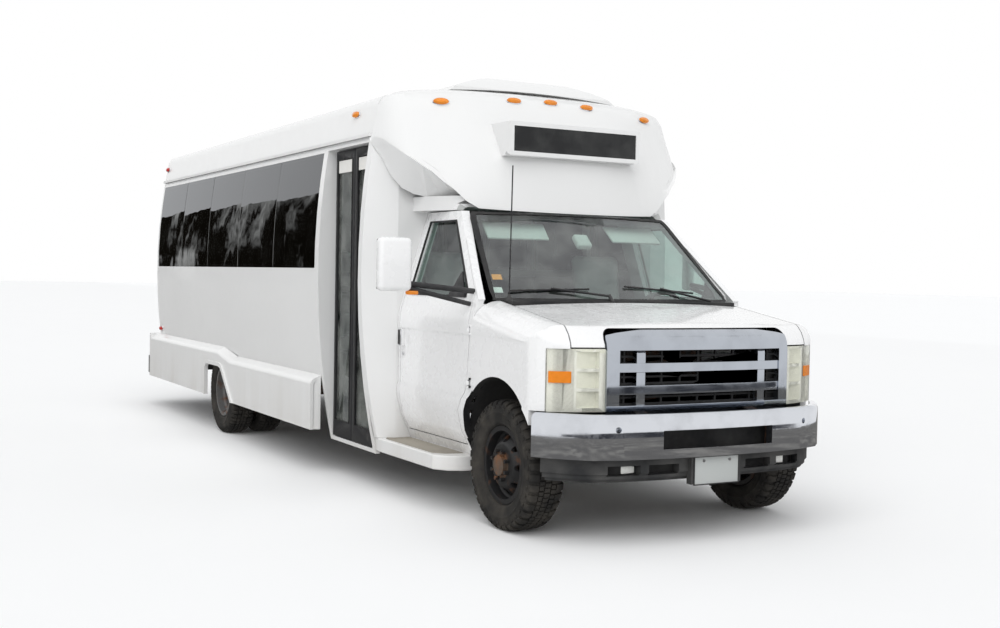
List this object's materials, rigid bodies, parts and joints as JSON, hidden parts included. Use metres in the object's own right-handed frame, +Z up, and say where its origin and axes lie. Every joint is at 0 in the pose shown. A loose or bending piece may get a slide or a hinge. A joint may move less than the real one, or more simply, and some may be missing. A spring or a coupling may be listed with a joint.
{
  "type": "party bus",
  "caption": "Cutaway-cab party bus with a bowed white coach body, dark side glass, swing-out entry leaves, chrome front and steered wheels.",
  "frame": {"origin": "on the ground under the middle of the box round the bus, 164 mm to the right of its own middle plane because of the right mirror", "axes": "+X forward, +Y to the bus's left, +Z up"},
  "size_m": [8.25, 2.852, 2.802],
  "materials": {
    "coach_white": "gloss gelcoat",
    "cab_white": "gloss",
    "black_trim": "satin",
    "chrome": "polished",
    "chassis_black": "satin",
    "bare_steel": "dull",
    "iron": "rough",
    "dark_glass": "tinted",
    "clear_glass": "clear",
    "door_frame": "black anodised",
    "lamp_clear": "clear lens over bright reflectors",
    "lamp_red": "gloss",
    "tyre": "matte",
    "wheel_black": "satin",
    "wheel_pale": "satin",
    "hide": "soft",
    "floor_grey": "matte"
  },
  "bodies": {
    "bus": {"chassis_frame": "chassis_black", "engine": "iron", "front_beams": "chassis_black", "rear_axle": "iron", "drive_shaft": "bare_steel", "fuel_tank": "chassis_black", "exhaust": "bare_steel", "floor": "floor_grey", "wall_right": "coach_white", "wall_left": "coach_white", "wall_rear": "coach_white", "roof": "coach_white", "entry_portal": "coach_white", "fairing": "coach_white", "front_cap": "coach_white", "sign_pane": "dark_glass", "roof_unit": "coach_white", "skirts": "coach_white", "side_glass": "dark_glass", "cab_shell": "cab_white", "windshield": "clear_glass", "fenders": "cab_white", "grille_frame": "chrome", "grille_mesh": "black_trim", "headlamps": "chrome", "lamp_lens": "lamp_clear", "wheel_houses": "black_trim", "shield_seal": "black_trim", "front_bumper": "chrome", "front_valance": "black_trim", "cowl": "black_trim", "dashboard": "black_trim", "steering_wheel": "black_trim", "cab_seats": "hide", "benches": "hide", "cab_steps": "coach_white", "rear_bumper": "chassis_black", "tail_lamps": "lamp_red"},
    "hood": {"hood": "cab_white"},
    "cab_door_right": {"cab_door_right": "cab_white", "cab_glass_right": "clear_glass", "mirror_right": "cab_white"},
    "cab_door_left": {"cab_door_left": "cab_white", "cab_glass_left": "clear_glass", "mirror_left": "cab_white"},
    "entry_front": {"entry_leaf_front": "door_frame", "entry_glass_front": "clear_glass"},
    "entry_rear": {"entry_leaf_rear": "door_frame", "entry_glass_rear": "clear_glass"},
    "steering_right": {"knuckle_right": "iron"},
    "steering_left": {"knuckle_left": "iron"},
    "wheel_front_right": {"front_wheel_right": "wheel_black", "front_tyre_right": "tyre"},
    "wheel_front_left": {"front_wheel_left": "wheel_black", "front_tyre_left": "tyre"},
    "wheels_rear_right": {"rear_wheels_right": "wheel_pale", "rear_tyres_right": "tyre"},
    "wheels_rear_left": {"rear_wheels_left": "wheel_pale", "rear_tyres_left": "tyre"}
  },
  "joints": [
    {"name": "steer_right", "type": "hinge", "parent": "bus", "child": "steering_right", "pos_m": [3.345, -0.601, 0.37], "axis": [0, 0, 1], "range_deg": [-32, 32]},
    {"name": "steer_left", "type": "hinge", "parent": "bus", "child": "steering_left", "pos_m": [3.345, 0.929, 0.37], "axis": [0, 0, 1], "range_deg": [-32, 32]},
    {"name": "spin_front_right", "type": "hinge", "parent": "steering_right", "child": "wheel_front_right", "pos_m": [3.345, -0.681, 0.37], "axis": [0, 1, 0], "continuous": true},
    {"name": "spin_front_left", "type": "hinge", "parent": "steering_left", "child": "wheel_front_left", "pos_m": [3.345, 1.009, 0.37], "axis": [0, 1, 0], "continuous": true},
    {"name": "spin_rear_right", "type": "hinge", "parent": "bus", "child": "wheels_rear_right", "pos_m": [-1.355, -0.786, 0.37], "axis": [0, 1, 0], "continuous": true},
    {"name": "spin_rear_left", "type": "hinge", "parent": "bus", "child": "wheels_rear_left", "pos_m": [-1.355, 1.114, 0.37], "axis": [0, 1, 0], "continuous": true},
    {"name": "hood_lift", "type": "hinge", "parent": "bus", "child": "hood", "pos_m": [3.259, 0.164, 1.254], "axis": [0, -1, 0], "range_deg": [0, 50]},
    {"name": "cab_door_right_swing", "type": "hinge", "parent": "bus", "child": "cab_door_right", "pos_m": [3.033, -0.836, 1.1], "axis": [0, 0, 1], "range_deg": [0, 65]},
    {"name": "cab_door_left_swing", "type": "hinge", "parent": "bus", "child": "cab_door_left", "pos_m": [3.033, 1.164, 1.1], "axis": [0, 0, -1], "range_deg": [0, 65]},
    {"name": "entry_front_swing", "type": "hinge", "parent": "bus", "child": "entry_front", "pos_m": [1.839, -0.917, 1.3], "axis": [0, 0, 1], "range_deg": [0, 85]},
    {"name": "entry_rear_swing", "type": "hinge", "parent": "bus", "child": "entry_rear", "pos_m": [1.149, -0.917, 1.3], "axis": [0, 0, -1], "range_deg": [0, 85]}
  ],
  "couplings": [
    {"joint": "steer_left", "follows": "steer_right", "ratio": 1},
    {"joint": "entry_rear_swing", "follows": "entry_front_swing", "ratio": 1}
  ]
}
